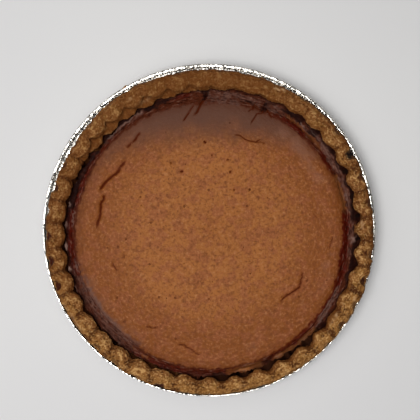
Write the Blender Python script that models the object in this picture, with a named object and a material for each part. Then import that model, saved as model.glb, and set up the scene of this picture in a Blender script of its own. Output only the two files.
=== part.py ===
"""Pumpkin pie in its pressed foil tin: the tin, the fluted pastry crust and the set filling.

Metres, +Z up. The origin is the middle of the tin's underside. The pie is the everyday 9 inch size.
Angles run from +X towards +Y, seen from above.
"""

import math

import bmesh
import bpy
from mathutils import Vector, noise

MM = 0.001
FULL_TURN = 2 * math.pi

# The tin: pressed foil with a rolled hem, 9 1/2 inches over the hem
TIN_RADIUS = 120.7 * MM
TIN_HEIGHT = 30.0 * MM
BASE_RADIUS = 87.0 * MM
BASE_BEND = 1.5 * MM
FLANGE_INNER_RADIUS = 111.0 * MM
FOIL = 0.4 * MM
HEM_ROLL = 0.9 * MM
TIN_SEGMENTS = 96

# The pastry shell inside it
GAP = 0.3 * MM
PASTRY = 3.7 * MM
STEPS_PER_FLUTE = 8
WALL_STEPS = 4
RIM_TOP = 40.0 * MM
RIM_OUTER_RADIUS = 117.4 * MM
LOBE_TIP_RADIUS = 103.8 * MM
WALL_TOP_HEIGHT = 32.6 * MM
NOTCH_DEPTH = 3.9 * MM
PIT_DEPTH = 4.0 * MM

# Where the thumb pressed a notch into the rim's inner side, in degrees, one after another
NOTCHES = (
    -3.8, 5.0, 14.6, 23.5, 32.7, 41.9, 50.8, 60.0, 69.6, 80.0,
    89.2, 97.7, 106.5, 116.2, 124.6, 133.8, 142.7, 151.2, 160.0, 168.8,
    177.3, 186.5, 195.4, 203.8, 212.7, 221.5, 230.4, 238.8, 247.3, 256.9,
    265.4, 275.0, 283.8, 293.1, 301.9, 311.2, 320.0, 328.1, 337.3, 346.9,
)
NOTCH_LEAN = -2.5

# Baked pastry is uneven: the rim sits low in the tin's -Y half and is broad and flat in the +Y half
RIM_SHIFT = 1.1 * MM
LOBE_SHIFT = 1.7 * MM
RIM_WANDER = 0.6 * MM
HEIGHT_WANDER = 0.8 * MM
FLUTE_WANDER = 0.35

# The filling: nearly flat, puffed near its edge, then a trough and a skin that climbs the crust
FILLING_CENTRE_HEIGHT = 30.1 * MM
PUFF_HEIGHT = 1.0 * MM
TROUGH_DEPTH = 1.5 * MM
SKIN_HEIGHT = 31.7 * MM
SHELF_RADIUS = 98.7 * MM
SHELF_SHIFT = 3.0 * MM
FILLING_SEGMENTS = 96
FILLING_WANDER = 0.25 * MM

# Cracks in the filling's skin, as points (x, y) in millimetres
CRACK_DEPTH = 0.9 * MM
CRACK_HALF_WIDTH = 0.45 * MM
CRACK_HEADROOM = 1.0 * MM
CRACKS = {
    "upper_left_crack": ((-60, 52), (-64, 46), (-67, 41), (-72, 38), (-76, 34), (-79, 29)),
    "left_crack": ((-76.5, 26.5), (-77, 22), (-79, 18), (-79, 12), (-81, 5)),
    "outer_left_crack": ((-50, 71), (-54, 66), (-57, 62), (-60, 60)),
    "upper_right_crack": ((17, 69), (23, 68), (26, 66), (30, 64.5), (35, 63.5), (40, 62)),
    "lower_right_crack": ((67, -32), (66, -38), (63, -44), (58, -46.5), (54, -49.5), (51, -53.5)),
}


def clear_scene():
    """Removes whatever the scene holds."""
    for obj in list(bpy.data.objects):
        bpy.data.objects.remove(obj, do_unlink=True)


def make_material(name, colour, roughness, metallic=0.0):
    """A plain surface of one colour, given as linear red, green and blue."""
    material = bpy.data.materials.new(name)
    material.use_nodes = True
    shader = material.node_tree.nodes["Principled BSDF"]
    shader.inputs["Base Color"].default_value = (*colour, 1.0)
    shader.inputs["Roughness"].default_value = roughness
    shader.inputs["Metallic"].default_value = metallic
    return material


def wander(angle, cycles, seed):
    """A smooth unevenness round the pie, about -1 to 1, that closes on itself after a full turn."""
    return 1.6 * noise.noise(Vector((cycles * math.cos(angle), cycles * math.sin(angle), seed)))


def northern(angle):
    """1 at the pie's +Y side, where the rim slumped, and 0 by its sides."""
    return max(0.0, math.sin(angle)) ** 2


def spin_profile(profile, segments, start=0.0):
    """A closed turned body of (radius, height) points, first and last on the axis.

    Each vertex keeps the index of its profile point in the "point" layer.
    """
    body = bmesh.new()
    point = body.verts.layers.int.new("point")
    verts = []
    for index, (radius, height) in enumerate(profile):
        vert = body.verts.new((radius * math.cos(start), radius * math.sin(start), height))
        vert[point] = index
        verts.append(vert)
    edges = [body.edges.new(pair) for pair in zip(verts, verts[1:])]
    bmesh.ops.spin(
        body, geom=verts + edges, axis=(0, 0, 1), cent=(0, 0, 0), angle=FULL_TURN, steps=segments, use_merge=True
    )
    bmesh.ops.remove_doubles(body, verts=body.verts, dist=0.001 * MM)
    return body, point


def finish(body, name, material):
    """Turns the bmesh into a smooth-shaded object with its faces pointing out."""
    bmesh.ops.recalc_face_normals(body, faces=body.faces)
    mesh = bpy.data.meshes.new(name)
    body.to_mesh(mesh)
    body.free()
    mesh.shade_smooth()
    mesh.set_sharp_from_angle(angle=math.radians(50))
    mesh.materials.append(material)
    obj = bpy.data.objects.new(name, mesh)
    bpy.context.scene.collection.objects.link(obj)
    return obj


def angle_of(vert):
    return math.atan2(vert.co.y, vert.co.x)


def place(vert, angle, radius, height):
    vert.co = (radius * math.cos(angle), radius * math.sin(angle), height)


# Tin


def hem_points():
    """The rolled hem, from the flange's underside round to its top."""
    middle_radius = TIN_RADIUS - HEM_ROLL
    middle_height = TIN_HEIGHT - FOIL - 0.2 * HEM_ROLL
    turns = [math.radians(a) for a in (-150, -95, -40, 15, 70, 125)]
    return [
        (middle_radius + HEM_ROLL * math.cos(turn), middle_height + HEM_ROLL * math.sin(turn))
        for turn in turns
    ]


def make_tin():
    """The pan: a flat base, a sloping wall, a flat flange and the hem, as one thin wall."""
    flange_bend = 1.2 * MM
    underside = [
        (0.0, 0.0),
        (BASE_RADIUS - BASE_BEND, 0.0),
        (BASE_RADIUS, 0.7 * BASE_BEND),
        (FLANGE_INNER_RADIUS, TIN_HEIGHT - FOIL - flange_bend),
        (FLANGE_INNER_RADIUS + flange_bend, TIN_HEIGHT - FOIL),
    ]
    inside = [
        (FLANGE_INNER_RADIUS + flange_bend, TIN_HEIGHT),
        (FLANGE_INNER_RADIUS - 0.8 * FOIL, TIN_HEIGHT - flange_bend),
        (BASE_RADIUS - 1.2 * FOIL, 0.7 * BASE_BEND + 0.8 * FOIL),
        (BASE_RADIUS - BASE_BEND - 0.4 * FOIL, FOIL),
        (0.0, FOIL),
    ]
    body, _ = spin_profile(underside + hem_points() + inside, TIN_SEGMENTS)
    return finish(body, "foil_tin", make_material("pressed aluminium foil", (0.78, 0.78, 0.77), 0.28, 1.0))


# Crust


def wall_offset_radius(height, thickness):
    """Radius of a cone that lies the given thickness inside the tin's wall."""
    rise = TIN_HEIGHT - BASE_BEND
    run = FLANGE_INNER_RADIUS - BASE_RADIUS
    slant = math.hypot(rise, run) / rise
    return BASE_RADIUS + run * (height - 0.7 * BASE_BEND) / rise - (FOIL + thickness) * slant


def flute_angle(step):
    """The angle of one of the rim's steps: every flute is divided alike, however wide it is."""
    flute, part = divmod(step, STEPS_PER_FLUTE)
    here = NOTCHES[flute]
    after = NOTCHES[flute + 1] if flute + 1 < len(NOTCHES) else NOTCHES[0] + 360.0
    return math.radians(here + (after - here) * part / STEPS_PER_FLUTE)


def flute_depth(angle):
    """How deep the fluting is here: strong at the +X side, faint where the rim slumped."""
    side = 0.25 * max(0.0, math.cos(angle))
    return max(0.3, 1.0 + side - 0.45 * northern(angle) + FLUTE_WANDER * wander(angle, 9.0, 2.0))


def rim_profile():
    """The rim's points, outer foot first, as (radius, height, follows notches, follows pits, follows lobe line)."""
    outer = RIM_OUTER_RADIUS
    tip = LOBE_TIP_RADIUS
    return [
        (outer - 1.4 * MM, TIN_HEIGHT + GAP + 0.1 * MM, 0.0, 0.0, 0.0),
        (outer, TIN_HEIGHT + 2.0 * MM, 0.0, 0.1, 0.0),
        (outer - 0.2 * MM, RIM_TOP - 4.6 * MM, 0.0, 0.9, 0.0),
        (outer - 1.8 * MM, RIM_TOP - 1.2 * MM, 0.1, 1.0, 0.2),
        (0.52 * outer + 0.48 * tip, RIM_TOP, 0.35, 0.3, 0.5),
        (tip + 2.0 * MM, RIM_TOP - 0.9 * MM, 0.85, 0.0, 1.0),
        (tip, RIM_TOP - 3.2 * MM, 1.0, 0.0, 1.0),
        (tip + 0.9 * MM, RIM_TOP - 5.6 * MM, 0.8, 0.0, 0.9),
    ]


def shape_rim_vertex(step, radius, height, notch_share, pit_share, lobe_share):
    """Where one point of the rim goes, as (angle, radius, height)."""
    angle = flute_angle(step)
    turn = math.pi * (step % STEPS_PER_FLUTE) / STEPS_PER_FLUTE
    notch = abs(math.cos(turn)) ** 3
    pit = abs(math.sin(turn)) ** 4
    depth = flute_depth(angle)
    radius -= (LOBE_SHIFT * lobe_share + RIM_SHIFT * (1 - lobe_share)) * math.sin(angle)
    radius += NOTCH_DEPTH * depth * notch * notch_share - PIT_DEPTH * depth * pit * pit_share
    radius += RIM_WANDER * wander(angle, 2.5, 7.0) * lobe_share
    above_flange = max(0.0, (height - TIN_HEIGHT - GAP) / (RIM_TOP - TIN_HEIGHT))
    dip = 0.9 * MM * depth * (notch * notch_share + pit * pit_share)
    slump = 1.3 * MM * northern(angle)
    height += above_flange * (HEIGHT_WANDER * wander(angle, 4.0, 1.0) - dip - slump)
    return angle, radius, height


def step_of(vert, segments):
    """Which of the turned body's steps this vertex belongs to."""
    turn = (angle_of(vert) - math.radians(NOTCH_LEAN)) % FULL_TURN
    return round(turn / FULL_TURN * segments) % segments


def weld_wall_steps(body, verts, segments):
    """Leaves every fourth vertex of the plain rings, so that only the fluted rim is finely divided."""
    targets = {}
    kept = {}
    for vert in verts:
        step = step_of(vert, segments)
        group = ((step + WALL_STEPS // 2) // WALL_STEPS) % (segments // WALL_STEPS)
        kept.setdefault(group, {})[step] = vert
    for group, members in kept.items():
        keeper = members[group * WALL_STEPS]
        targets.update({vert: keeper for vert in members.values() if vert is not keeper})
    bmesh.ops.weld_verts(body, targetmap=targets)


def make_crust():
    """The pastry shell with its fluted rim, clear of the tin all over."""
    bottom = FOIL + GAP
    foot = 2.0 * MM
    under_top = TIN_HEIGHT - 1.5 * MM
    outside = [
        (0.0, bottom),
        (wall_offset_radius(bottom, GAP) - 1.2 * MM, bottom),
        (wall_offset_radius(under_top, GAP), under_top),
        (FLANGE_INNER_RADIUS + 1.1 * MM, TIN_HEIGHT + GAP),
    ]
    rim = rim_profile()
    inner_floor = bottom + PASTRY
    inside = [
        (wall_offset_radius(WALL_TOP_HEIGHT, GAP + PASTRY), WALL_TOP_HEIGHT),
        (wall_offset_radius(inner_floor + foot, GAP + PASTRY), inner_floor + foot),
        (wall_offset_radius(inner_floor, GAP + PASTRY) - foot, inner_floor),
        (0.0, inner_floor),
    ]
    segments = len(NOTCHES) * STEPS_PER_FLUTE
    profile = outside + [(radius, height) for radius, height, *_ in rim] + inside
    body, point = spin_profile(profile, segments, math.radians(NOTCH_LEAN))
    first = len(outside)
    for vert in body.verts:
        index = vert[point] - first
        if 0 <= index < len(rim):
            place(vert, *shape_rim_vertex(step_of(vert, segments), *rim[index]))
    for index in range(1, len(profile) - 1):
        if not first <= index < first + len(rim):
            weld_wall_steps(body, [v for v in body.verts if v[point] == index], segments)
    return finish(body, "crust", make_material("baked wholemeal pastry", (0.30, 0.155, 0.055), 0.75))


# Filling


def shelf_radius(angle):
    """Where the flat top ends and the trough begins."""
    return SHELF_RADIUS - SHELF_SHIFT * math.sin(angle) + 0.6 * MM * wander(angle, 3.0, 11.0)


def filling_edge_radius():
    return wall_offset_radius(SKIN_HEIGHT, 2 * GAP + PASTRY)


def top_rings(angle):
    """The filling's top from its middle outwards, as (radius, height) at this angle."""
    shelf = shelf_radius(angle)
    edge = filling_edge_radius()
    level = FILLING_CENTRE_HEIGHT
    puff = PUFF_HEIGHT * (1 + 0.4 * wander(angle, 2.0, 3.0))
    trough = shelf + 0.38 * (edge - shelf)
    return [
        (0.30 * shelf, level),
        (0.56 * shelf, level + 0.1 * puff),
        (0.76 * shelf, level + 0.4 * puff),
        (0.87 * shelf, level + 0.9 * puff),
        (0.94 * shelf, level + puff),
        (0.985 * shelf, level + 0.5 * puff),
        (trough, level - TROUGH_DEPTH),
        (0.5 * (trough + edge), level - 0.4 * TROUGH_DEPTH),
        (edge, SKIN_HEIGHT),
    ]


def surface_height(x, y):
    """The filling's top under a point."""
    angle = math.atan2(y, x)
    distance = math.hypot(x, y)
    rings = [(0.0, FILLING_CENTRE_HEIGHT)] + top_rings(angle)
    for (inner, low), (outer, high) in zip(rings, rings[1:]):
        if distance <= outer:
            return low + (high - low) * (distance - inner) / (outer - inner)
    return rings[-1][1]


def make_crack_cutter(name, path):
    """A wedge that runs along the crack, tapered to a point at both ends."""
    points = [Vector((x * MM, y * MM, surface_height(x * MM, y * MM))) for x, y in path]
    last = len(points) - 1
    slope = CRACK_HALF_WIDTH / CRACK_DEPTH

    def section(index):
        """The wedge's three corners at this point of the path: bottom, left and right."""
        ahead = points[min(index + 1, last)] - points[max(index - 1, 0)]
        across = Vector((-ahead.y, ahead.x, 0.0)).normalized()
        share = 0.25 if index in (0, last) else 1.0
        depth = CRACK_DEPTH * share
        reach = slope * (depth + CRACK_HEADROOM)
        top = points[index] + Vector((0, 0, CRACK_HEADROOM))
        return points[index] - Vector((0, 0, depth)), top + across * reach, top - across * reach

    body = bmesh.new()
    loops = []
    for index in range(last + 1):
        corners = [body.verts.new(corner) for corner in section(index)]
        loops.append([body.edges.new((corners[i - 1], corners[i])) for i in range(3)])
    for first, second in zip(loops, loops[1:]):
        bmesh.ops.bridge_loops(body, edges=first + second)
    bmesh.ops.holes_fill(body, edges=loops[0] + loops[-1], sides=3)
    cutter = finish(body, name, make_material(name, (0.2, 0.05, 0.02), 0.8))
    cutter.hide_render = True
    cutter.display_type = "WIRE"
    return cutter


def make_filling():
    """The set filling: a solid disc with its puffed edge, its trough and its cracks."""
    bottom = FOIL + 2 * GAP + PASTRY
    foot = 2.0 * MM
    thickness = 2 * GAP + PASTRY
    side = [
        (wall_offset_radius(SKIN_HEIGHT - 1.0 * MM, thickness), SKIN_HEIGHT - 1.0 * MM),
        (wall_offset_radius(bottom + foot, thickness), bottom + foot),
        (wall_offset_radius(bottom, thickness) - foot, bottom),
        (0.0, bottom),
    ]
    profile = [(0.0, FILLING_CENTRE_HEIGHT)] + top_rings(0.0) + side
    body, point = spin_profile(profile, FILLING_SEGMENTS)
    top_count = len(top_rings(0.0))
    for vert in body.verts:
        index = vert[point] - 1
        if 0 <= index < top_count:
            angle = angle_of(vert)
            place(vert, angle, *top_rings(angle)[index])
            inside = index < top_count - 2
            vert.co.z += FILLING_WANDER * noise.noise(vert.co * 40) if inside else 0.0
    filling = finish(body, "filling", make_material("set pumpkin custard", (0.30, 0.105, 0.035), 0.45))
    for name, path in CRACKS.items():
        cut = filling.modifiers.new(name, "BOOLEAN")
        cut.operation = "DIFFERENCE"
        cut.solver = "EXACT"
        cut.object = make_crack_cutter(name, path)
    return filling


def main():
    clear_scene()
    pie = bpy.data.objects.new("pumpkin_pie", None)
    bpy.context.scene.collection.objects.link(pie)
    for piece in (make_tin(), make_crust(), make_filling()):
        piece.parent = pie


main()
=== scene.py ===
"""An uncut pumpkin pie in its pressed foil tin, dressed for a view from straight above.

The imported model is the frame. Each of its three nodes gives way to a finer piece of the same form: the tin
with its pleats and crinkles, the crust with its crags, and the filling with its skin, its wrinkles and its
cracks. Metres, +Z up. Angles run from +X towards +Y, seen from above.
"""

import logging
import math
import random
from dataclasses import dataclass, field
from enum import Enum
from typing import Any

import bmesh
import bpy
import numpy as np
from mathutils import Matrix, Vector, noise


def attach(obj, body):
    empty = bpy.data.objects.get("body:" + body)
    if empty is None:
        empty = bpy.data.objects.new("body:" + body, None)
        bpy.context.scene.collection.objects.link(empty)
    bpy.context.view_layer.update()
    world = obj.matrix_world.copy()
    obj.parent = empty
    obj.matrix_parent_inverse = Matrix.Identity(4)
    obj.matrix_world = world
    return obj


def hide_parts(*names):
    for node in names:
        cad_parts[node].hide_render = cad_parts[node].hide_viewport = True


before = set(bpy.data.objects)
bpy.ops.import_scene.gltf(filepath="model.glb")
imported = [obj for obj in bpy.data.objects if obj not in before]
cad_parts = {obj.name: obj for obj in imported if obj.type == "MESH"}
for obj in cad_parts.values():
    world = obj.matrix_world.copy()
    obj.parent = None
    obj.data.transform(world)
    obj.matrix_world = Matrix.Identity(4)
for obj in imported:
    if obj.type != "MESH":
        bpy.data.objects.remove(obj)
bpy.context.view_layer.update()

log = logging.getLogger("pumpkin_pie")

MM = 0.001
FULL_TURN = 2 * math.pi
NOISE_GAIN = 1.6  # Blender's noise hardly leaves -0.6 to 0.6

Array = np.ndarray
Body = bmesh.types.BMesh
Piece = bpy.types.Object
Marks = dict[str, Array]
Row = tuple[float, ...]
Stops = tuple[tuple[float, float], ...]


class Slot(Enum):
    """The record's material slots."""

    FOIL = "foil"
    PASTRY = "pastry"
    CUSTARD = "custard"


class Shade(Enum):
    """What the oven left on the pie, and the shade, sheen and highlights painted with it, patch by patch.
    Each value names the mark that the finishes read.
    """

    SOOT_AND_SHADOW = "soot_and_shadow"
    GLAZE = "glaze"
    ASH = "ash"
    BLOOM_AND_HIGHLIGHT = "bloom_and_highlight"
    PAINTED_SHEEN = "painted_sheen"
    AMBER = "amber"
    SCORCH_AND_PIT_SHADE = "scorch_and_pit_shade"
    FLOUR = "flour"


Patches = dict[Shade, tuple[Row, ...]]


# Shared shape functions


def fade(value: Array, start: float | Array, end: float | Array) -> Array:
    """Turns a value into a smooth share.

    Args:
        value: What is read.
        start: Where the share is still 0.
        end: Where the share reaches 1. It may lie below start.

    Returns:
        The share, 0 to 1.
    """
    share = np.clip((value - start) / (end - start), 0.0, 1.0)
    return share * share * (3 - 2 * share)


def around(stops: Stops, angle: Array) -> Array:
    """Reads a value that changes round the pie.

    Args:
        stops: Pairs of an angle in degrees and the value there, in order.
        angle: Where it is read, in radians.

    Returns:
        The value at each angle, straight between the stops.
    """
    at, values = zip(*stops)
    return np.interp(np.degrees(angle) % 360, at, values, period=360)


def wander(angle: Array, cycles: float, seed: float) -> Array:
    """A smooth unevenness round the pie that closes on itself after a full turn.

    Args:
        angle: Where it is read, in radians.
        cycles: How quickly it changes round the pie.
        seed: Which unevenness it is.

    Returns:
        About -1 to 1 at each angle.
    """
    ring = np.linspace(0, FULL_TURN, 1440, endpoint=False)
    level = [noise.noise(Vector((cycles * math.cos(a), cycles * math.sin(a), seed))) for a in ring]
    return np.interp(angle % FULL_TURN, ring, NOISE_GAIN * np.array(level), period=FULL_TURN)


def ripple(points: Array, size: float, seed: float = 0.0) -> Array:
    """A smooth unevenness in space.

    Args:
        points: One row per point, in metres.
        size: How far apart its humps are.
        seed: Which unevenness it is.

    Returns:
        About -1 to 1 at each point.
    """
    return NOISE_GAIN * np.array([noise.noise(point) for point in (points / size + seed).tolist()])


def smooth_rows(rows: list[Row], spacing: float) -> Array:
    """Runs a smooth curve through a few rows of values.

    Args:
        rows: The rows that the curve passes, a radius and a height first in each.
        spacing: About how far apart the curve's own points are.

    Returns:
        One row per point of the curve.
    """
    given = np.array(rows)
    padded = np.vstack([2 * given[0] - given[1], given, 2 * given[-1] - given[-2]])
    made = []
    for before, here, after, beyond in zip(padded, padded[1:], padded[2:], padded[3:]):
        steps = max(1, round(float(np.hypot(*(after - here)[:2])) / spacing))
        pull = 2 * before - 5 * here + 4 * after - beyond
        turn = 3 * here - before - 3 * after + beyond
        for t in np.arange(steps) / steps:
            made.append(0.5 * (2 * here + (after - before) * t + pull * t**2 + turn * t**3))
    return np.array([*made, given[-1]])


@dataclass(frozen=True)
class Patch:
    """A patch between two angles in degrees and two distances from the pie's middle in millimetres."""

    start: float
    end: float
    inner: float
    outer: float
    strength: float = 1.0
    taper: float = 0.0
    soft: float = 0.7

    def cover(self, degrees: Array, reach: Array) -> Array:
        """How strongly the patch lies on each point.

        Args:
            degrees: The points' angles.
            reach: Their distances from the middle, in millimetres.

        Returns:
            0 outside the patch, and its strength well inside it.
        """
        away = np.abs((degrees - 0.5 * (self.end + self.start) + 180) % 360 - 180)
        across = 0.5 * (self.outer - self.inner)
        aside = np.abs(reach - self.inner - across)
        inward = np.clip((self.outer - reach) / (self.outer - self.inner), 0, 1)
        half = 0.5 * (self.end - self.start) * (1 - self.taper * inward)
        blur = min(2 * self.soft, 0.35 * (self.end - self.start))
        along = fade(away, half + blur, half - blur)
        return self.strength * along * fade(aside, across + self.soft, across - self.soft)


def lay(patches: Patches, degrees: Array, reach: Array) -> Marks:
    """Lays each shade's patches side by side.

    Args:
        patches: The values of each patch, in its own order, for each shade.
        degrees: The points' angles.
        reach: Their distances from the middle, in millimetres.

    Returns:
        How strong the strongest patch of each shade is on each point.
    """
    covers = {shade: [Patch(*row).cover(degrees, reach) for row in rows] for shade, rows in patches.items()}
    return {shade.value: np.max(found, axis=0) for shade, found in covers.items()}


# Shared mesh steps


def turn_profile(profile: Array, steps: int) -> tuple[Body, Array, Array]:
    """Rolls a grid up into a closed body round the pie's axis.

    Args:
        profile: One row per point, radius and height first. The first and the last lie on the axis.
        steps: How many steps make the full turn.

    Returns:
        The body, and the profile row and the step of each vertex.
    """
    body = bmesh.new()
    rows = len(profile) - 1
    bmesh.ops.create_grid(body, x_segments=steps, y_segments=rows, size=1.0)
    row, step = body.verts.layers.int.new("row"), body.verts.layers.int.new("step")
    for vert in body.verts:
        vert[row] = round((vert.co.y + 1) / 2 * rows)
        vert[step] = round((vert.co.x + 1) / 2 * steps) % steps
        radius, height = profile[vert[row], :2]
        angle = vert[step] / steps * FULL_TURN
        vert.co = (radius * math.cos(angle), radius * math.sin(angle), height)
    bmesh.ops.remove_doubles(body, verts=body.verts, dist=0.001 * MM)
    bmesh.ops.recalc_face_normals(body, faces=body.faces)
    return body, np.array([vert[row] for vert in body.verts]), np.array([vert[step] for vert in body.verts])


def read_points(body: Body) -> Array:
    """The body's vertices as one row each."""
    return np.array([vert.co for vert in body.verts])


def place_points(body: Body, points: Array) -> None:
    """Moves every vertex of the body to its row."""
    for vert, point in zip(body.verts, points):
        vert.co = point


def turned(angle: Array, radius: Array, height: Array) -> Array:
    """Points from their angles, radii and heights, as one row each."""
    return np.stack([radius * np.cos(angle), radius * np.sin(angle), height], axis=1)


def polar(points: Array) -> tuple[Array, Array]:
    """The points' angles in radians and their distances from the pie's axis."""
    return np.arctan2(points[:, 1], points[:, 0]), np.hypot(points[:, 0], points[:, 1])


def roughen(body: Body, height: Array) -> None:
    """Moves every vertex of a smooth body out along its normal, by its own height."""
    body.normal_update()
    normals = np.array([vert.normal for vert in body.verts])
    place_points(body, read_points(body) + normals * height[:, None])


def make_piece(body: Body, name: str, material: bpy.types.Material, marks: Marks | None = None) -> Piece:
    """Turns a body into a smooth-shaded piece of the scene.

    Args:
        body: The finished body. It is freed.
        name: The piece's name.
        material: Its finish.
        marks: Values per vertex that the finish reads by name.

    Returns:
        The piece, at the origin, with its place in its mesh.
    """
    mesh = bpy.data.meshes.new(name)
    body.to_mesh(mesh)
    body.free()
    mesh.shade_smooth()
    for mark, values in (marks or {}).items():
        layer = mesh.attributes.new(mark, "FLOAT", "POINT")
        layer.data.foreach_set("value", np.clip(values, 0.0, 1.0).astype(np.float32))
    mesh.materials.append(material)
    piece = bpy.data.objects.new(name, mesh)
    bpy.context.scene.collection.objects.link(piece)
    return piece


# Shared finish steps


def linear(code: str) -> tuple[float, float, float, float]:
    """Turns an sRGB hex colour such as "#C08A4E" into linear red, green, blue and alpha."""
    parts = [int(code[i : i + 2], 16) / 255 for i in (1, 3, 5)]
    red, green, blue = (p / 12.92 if p <= 0.04045 else ((p + 0.055) / 1.055) ** 2.4 for p in parts)
    return red, green, blue, 1.0


@dataclass(frozen=True)
class Cloud:
    """A cloudy pattern, about 0.25 to 0.75: the size of its clouds, and how its finer layers lie on them."""

    size: float
    detail: float = 3.0
    roughness: float = 0.6


@dataclass(frozen=True)
class Coat:
    """A colour over a finish. It shows from least to most while a cloud or a mark runs from start to end."""

    source: str
    colour: str = ""
    most: float = 1.0
    start: float = 0.0
    end: float = 1.0
    least: float = 0.0


Coats = tuple[Coat, ...]


@dataclass
class Recipe:
    """A material's nodes while they are put together."""

    name: str
    clouds: dict[str, Cloud]
    sources: dict[str, bpy.types.NodeSocket] = field(default_factory=dict)

    def __post_init__(self) -> None:
        """Starts the material with its shader, its coordinates and its clouds."""
        self.material = bpy.data.materials.new(self.name)
        self.material.use_nodes = True
        self.tree = self.material.node_tree
        self.place = self.add("TexCoord", "Object")
        for name, cloud in self.clouds.items():
            inputs = {"Scale": 1 / cloud.size, "Detail": cloud.detail, "Roughness": cloud.roughness}
            self.sources[name] = self.add("TexNoise", "Fac", {"Vector": self.place, **inputs})

    def add(
        self, kind: str, output: str | int, inputs: dict[str | int, Any] | None = None, **settings: Any
    ) -> bpy.types.NodeSocket:
        """Adds one node with its settings and its links.

        Args:
            kind: The node's type, without its "ShaderNode".
            output: Which of its outputs is wanted, by name or number.
            inputs: What each input takes, by name or number.
            settings: The node's own properties.

        Returns:
            The wanted output.
        """
        node = self.tree.nodes.new("ShaderNode" + kind)
        for name, value in settings.items():
            setattr(node, name, value)
        self.join(node, inputs or {})
        return node.outputs[output]

    def join(self, node: bpy.types.Node, inputs: dict[str | int, Any]) -> None:
        """Feeds a node.

        Args:
            node: The node.
            inputs: What each input takes, by name or number.
        """
        for key, value in inputs.items():
            fed = self.feed(value)
            if isinstance(fed, bpy.types.NodeSocket):
                self.tree.links.new(fed, node.inputs[key])
            else:
                node.inputs[key].default_value = fed

    def feed(self, value: Any) -> Any:
        """Finds what an input takes.

        Args:
            value: A plain value or a socket, the name of a cloud or of a mark, or a coat, for the share of
                it that shows.

        Returns:
            The plain value or the socket.
        """
        if isinstance(value, Coat):
            ends = {"From Min": value.start, "From Max": value.end, "To Min": value.least}
            inputs = {"Value": value.source, "To Max": value.most, **ends}
            return self.add("MapRange", "Result", inputs, interpolation_type="SMOOTHSTEP")
        if isinstance(value, str):
            if value not in self.sources:
                self.sources[value] = self.add("Attribute", "Fac", attribute_name=value)
            return self.sources[value]
        return value

    def finish(
        self, ground: str, coats: Coats, relief: tuple[tuple[str | Coat, float], ...] = (), **inputs: Any
    ) -> bpy.types.Material:
        """Lays the coats over the ground, adds the relief and sets up the shader.

        Args:
            ground: The ground's colour.
            coats: The coats, the lowest first.
            relief: Each a source, and how deep in metres it stands out where it is 1. Below 0 it sinks in.
            inputs: What each of the shader's other inputs takes, with _ for a space.

        Returns:
            The finished material.
        """
        colour, normal = linear(ground), {}
        for coat in coats:
            colour = self.add("Mix", 2, {0: coat, 6: colour, 7: linear(coat.colour)}, data_type="RGBA")
        for source, depth in relief:
            bump = {"Height": source, "Distance": abs(depth), "Strength": 1.0, **normal}
            normal = {"Normal": self.add("Bump", "Normal", bump, invert=depth < 0)}
        named = {name.replace("_", " "): value for name, value in inputs.items()}
        self.join(self.tree.nodes["Principled BSDF"], {"Base Color": colour, **named, **normal})
        return self.material


# Finishes


@dataclass(frozen=True)
class PressedFoil:
    """Bright rolled aluminium foil, pressed cold in a die.

    It is a mirror broken up by crinkles, so it shows as white glints beside near black. Fine rolling marks
    soften the glints a little, thin dark lines along the crinkles' steepest slopes are painted dark
    reflection, and painted shade darkens it in the gap between the hem and the crust.
    """

    ground: str = "#F2ECE3"
    coats: Coats = (
        Coat("haze", "#D0CAC1", 1.0, 0.4, 0.65),
        # Painted dark reflection along the crinkles' steepest slopes.
        Coat("painted_crease_reflection", "#3A3936", 0.9, 0.042, 0.006),
        # Painted shade in the gap between the hem and the crust.
        Coat("gap_shade", "#1C1611"),
    )
    facets: Coat = Coat("folds", "", 1.0, 0.44, 0.56)
    smudges: Coat = Coat("haze", "", 0.12, 0.4, 0.65, 0.07)
    crinkle: float = 2.2 * MM
    crumple: float = 0.8 * MM

    def make(self) -> bpy.types.Material:
        """The finished material."""
        folds, fine = Cloud(self.crinkle, 2.0, 0.5), Cloud(self.crumple, 2.0)
        clouds = {"haze": Cloud(14 * MM), "folds": folds, "fine": fine}
        recipe = Recipe("pressed_aluminium_foil", clouds)
        # The crinkles' steepest slopes, where the dark reflection is painted.
        swing = recipe.add("Math", 0, {0: "folds", 1: 0.5}, operation="SUBTRACT")
        recipe.sources["painted_crease_reflection"] = recipe.add("Math", 0, {0: swing}, operation="ABSOLUTE")
        relief = ((self.facets, 0.50 * MM), ("folds", 0.10 * MM), ("fine", 0.10 * MM))
        return recipe.finish(self.ground, self.coats, relief, Metallic=1.0, Roughness=self.smudges)


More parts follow.
